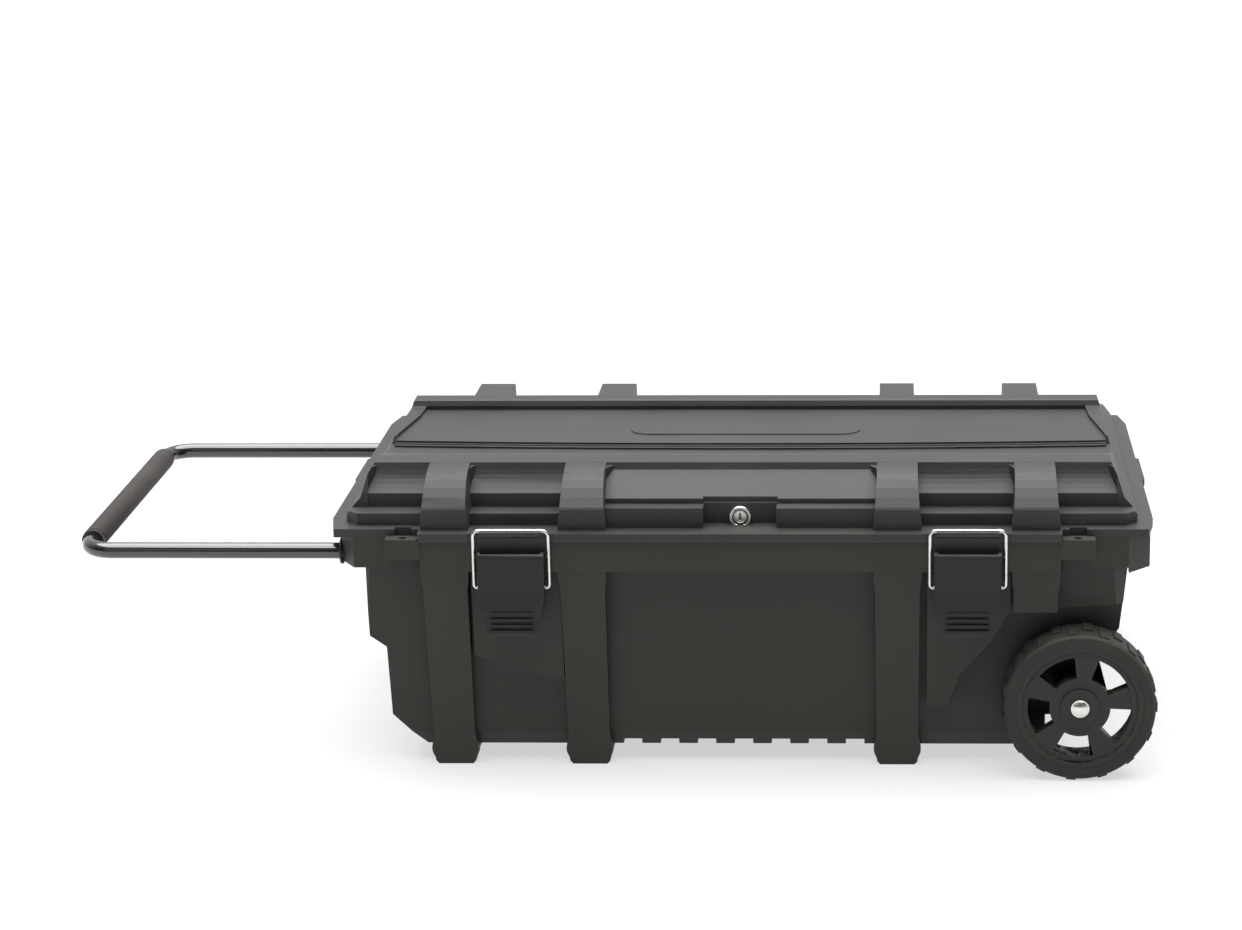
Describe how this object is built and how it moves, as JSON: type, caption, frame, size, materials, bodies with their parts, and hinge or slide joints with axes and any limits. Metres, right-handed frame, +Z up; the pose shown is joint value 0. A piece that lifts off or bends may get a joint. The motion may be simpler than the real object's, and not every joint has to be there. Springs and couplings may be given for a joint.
{
  "type": "wheeled tool chest",
  "caption": "Rolling moulded job box for tools with a hinged ribbed lid, wire draw latches, a cam lock, side wheels on an axle and a pull-out tube handle",
  "frame": {"origin": "centre of the bounding box of the whole object, handle pulled out, on the floor plane under the feet and wheels", "axes": "+X along the box to the wheel end, -Y is the front with the latches and the lock, +Z up"},
  "size_m": [1.2566, 0.5988, 0.354],
  "materials": {
    "tub_plastic": "grained",
    "lid_plastic": "grained",
    "latch_plastic": "satin",
    "bail_chrome": "bright",
    "lock_chrome": "bright",
    "plated_steel": "zinc plated",
    "pin_steel": "satin",
    "tube_paint": "semi-gloss powder coat",
    "grip_rubber": "matte foam",
    "trim_plastic": "satin",
    "hub_plastic": "satin",
    "tyre_rubber": "matte"
  },
  "bodies": {
    "tub": {"tub": "tub_plastic", "left_hinge_pin": "pin_steel", "right_hinge_pin": "pin_steel", "left_latch_pin": "pin_steel", "right_latch_pin": "pin_steel", "lock_strike": "plated_steel", "strike_screws": "plated_steel", "front_handle_bush": "trim_plastic", "rear_handle_bush": "trim_plastic", "front_handle_channel": "tub_plastic", "rear_handle_channel": "tub_plastic", "channel_screws": "plated_steel", "axle": "pin_steel", "wheel_washers": "plated_steel", "front_axle_cap": "bail_chrome", "rear_axle_cap": "bail_chrome"},
    "lid": {"lid": "lid_plastic", "lock_barrel": "lock_chrome", "lock_nut": "plated_steel"},
    "lock": {"lock_plug": "lock_chrome", "lock_cam": "plated_steel", "cam_screw": "plated_steel"},
    "handle": {"handle_tube": "tube_paint", "handle_grip": "grip_rubber", "grip_rings": "trim_plastic", "tube_end_plugs": "trim_plastic"},
    "left_lever": {"left_latch_lever": "latch_plastic"},
    "right_lever": {"right_latch_lever": "latch_plastic"},
    "left_bail": {"left_latch_bail": "bail_chrome"},
    "right_bail": {"right_latch_bail": "bail_chrome"},
    "front_wheel": {"front_wheel_hub": "hub_plastic", "front_tyre": "tyre_rubber"},
    "rear_wheel": {"rear_wheel_hub": "hub_plastic", "rear_tyre": "tyre_rubber"}
  },
  "joints": [
    {"name": "lid_hinge", "type": "hinge", "parent": "tub", "child": "lid", "pos_m": [0.15025, 0.287, 0.286], "axis": [-1, 0, 0], "range_deg": [0, 100]},
    {"name": "handle_slide", "type": "slide", "parent": "tub", "child": "handle", "axis": [1, 0, 0], "range_m": [0, 0.262]},
    {"name": "left_latch", "type": "hinge", "parent": "tub", "child": "left_lever", "pos_m": [-0.10975, -0.286, 0.266], "axis": [-1, 0, 0], "range_deg": [0, 110]},
    {"name": "right_latch", "type": "hinge", "parent": "tub", "child": "right_lever", "pos_m": [0.41025, -0.286, 0.266], "axis": [-1, 0, 0], "range_deg": [0, 110]},
    {"name": "left_bail_swing", "type": "hinge", "parent": "left_lever", "child": "left_bail", "pos_m": [-0.10975, -0.283, 0.23], "axis": [1, 0, 0], "range_deg": [0, 55]},
    {"name": "right_bail_swing", "type": "hinge", "parent": "right_lever", "child": "right_bail", "pos_m": [0.41025, -0.283, 0.23], "axis": [1, 0, 0], "range_deg": [0, 55]},
    {"name": "lock_turn", "type": "hinge", "parent": "lid", "child": "lock", "pos_m": [0.15025, -0.236, 0.302], "axis": [0, -1, 0], "range_deg": [0, 90]},
    {"name": "front_wheel_spin", "type": "hinge", "parent": "tub", "child": "front_wheel", "pos_m": [0.53925, -0.27, 0.089], "axis": [0, 1, 0], "continuous": true},
    {"name": "rear_wheel_spin", "type": "hinge", "parent": "tub", "child": "rear_wheel", "pos_m": [0.53925, 0.27, 0.089], "axis": [0, 1, 0], "continuous": true}
  ],
  "couplings": [
    {"joint": "left_bail_swing", "follows": "left_latch", "ratio": 0.5},
    {"joint": "right_bail_swing", "follows": "right_latch", "ratio": 0.5}
  ]
}
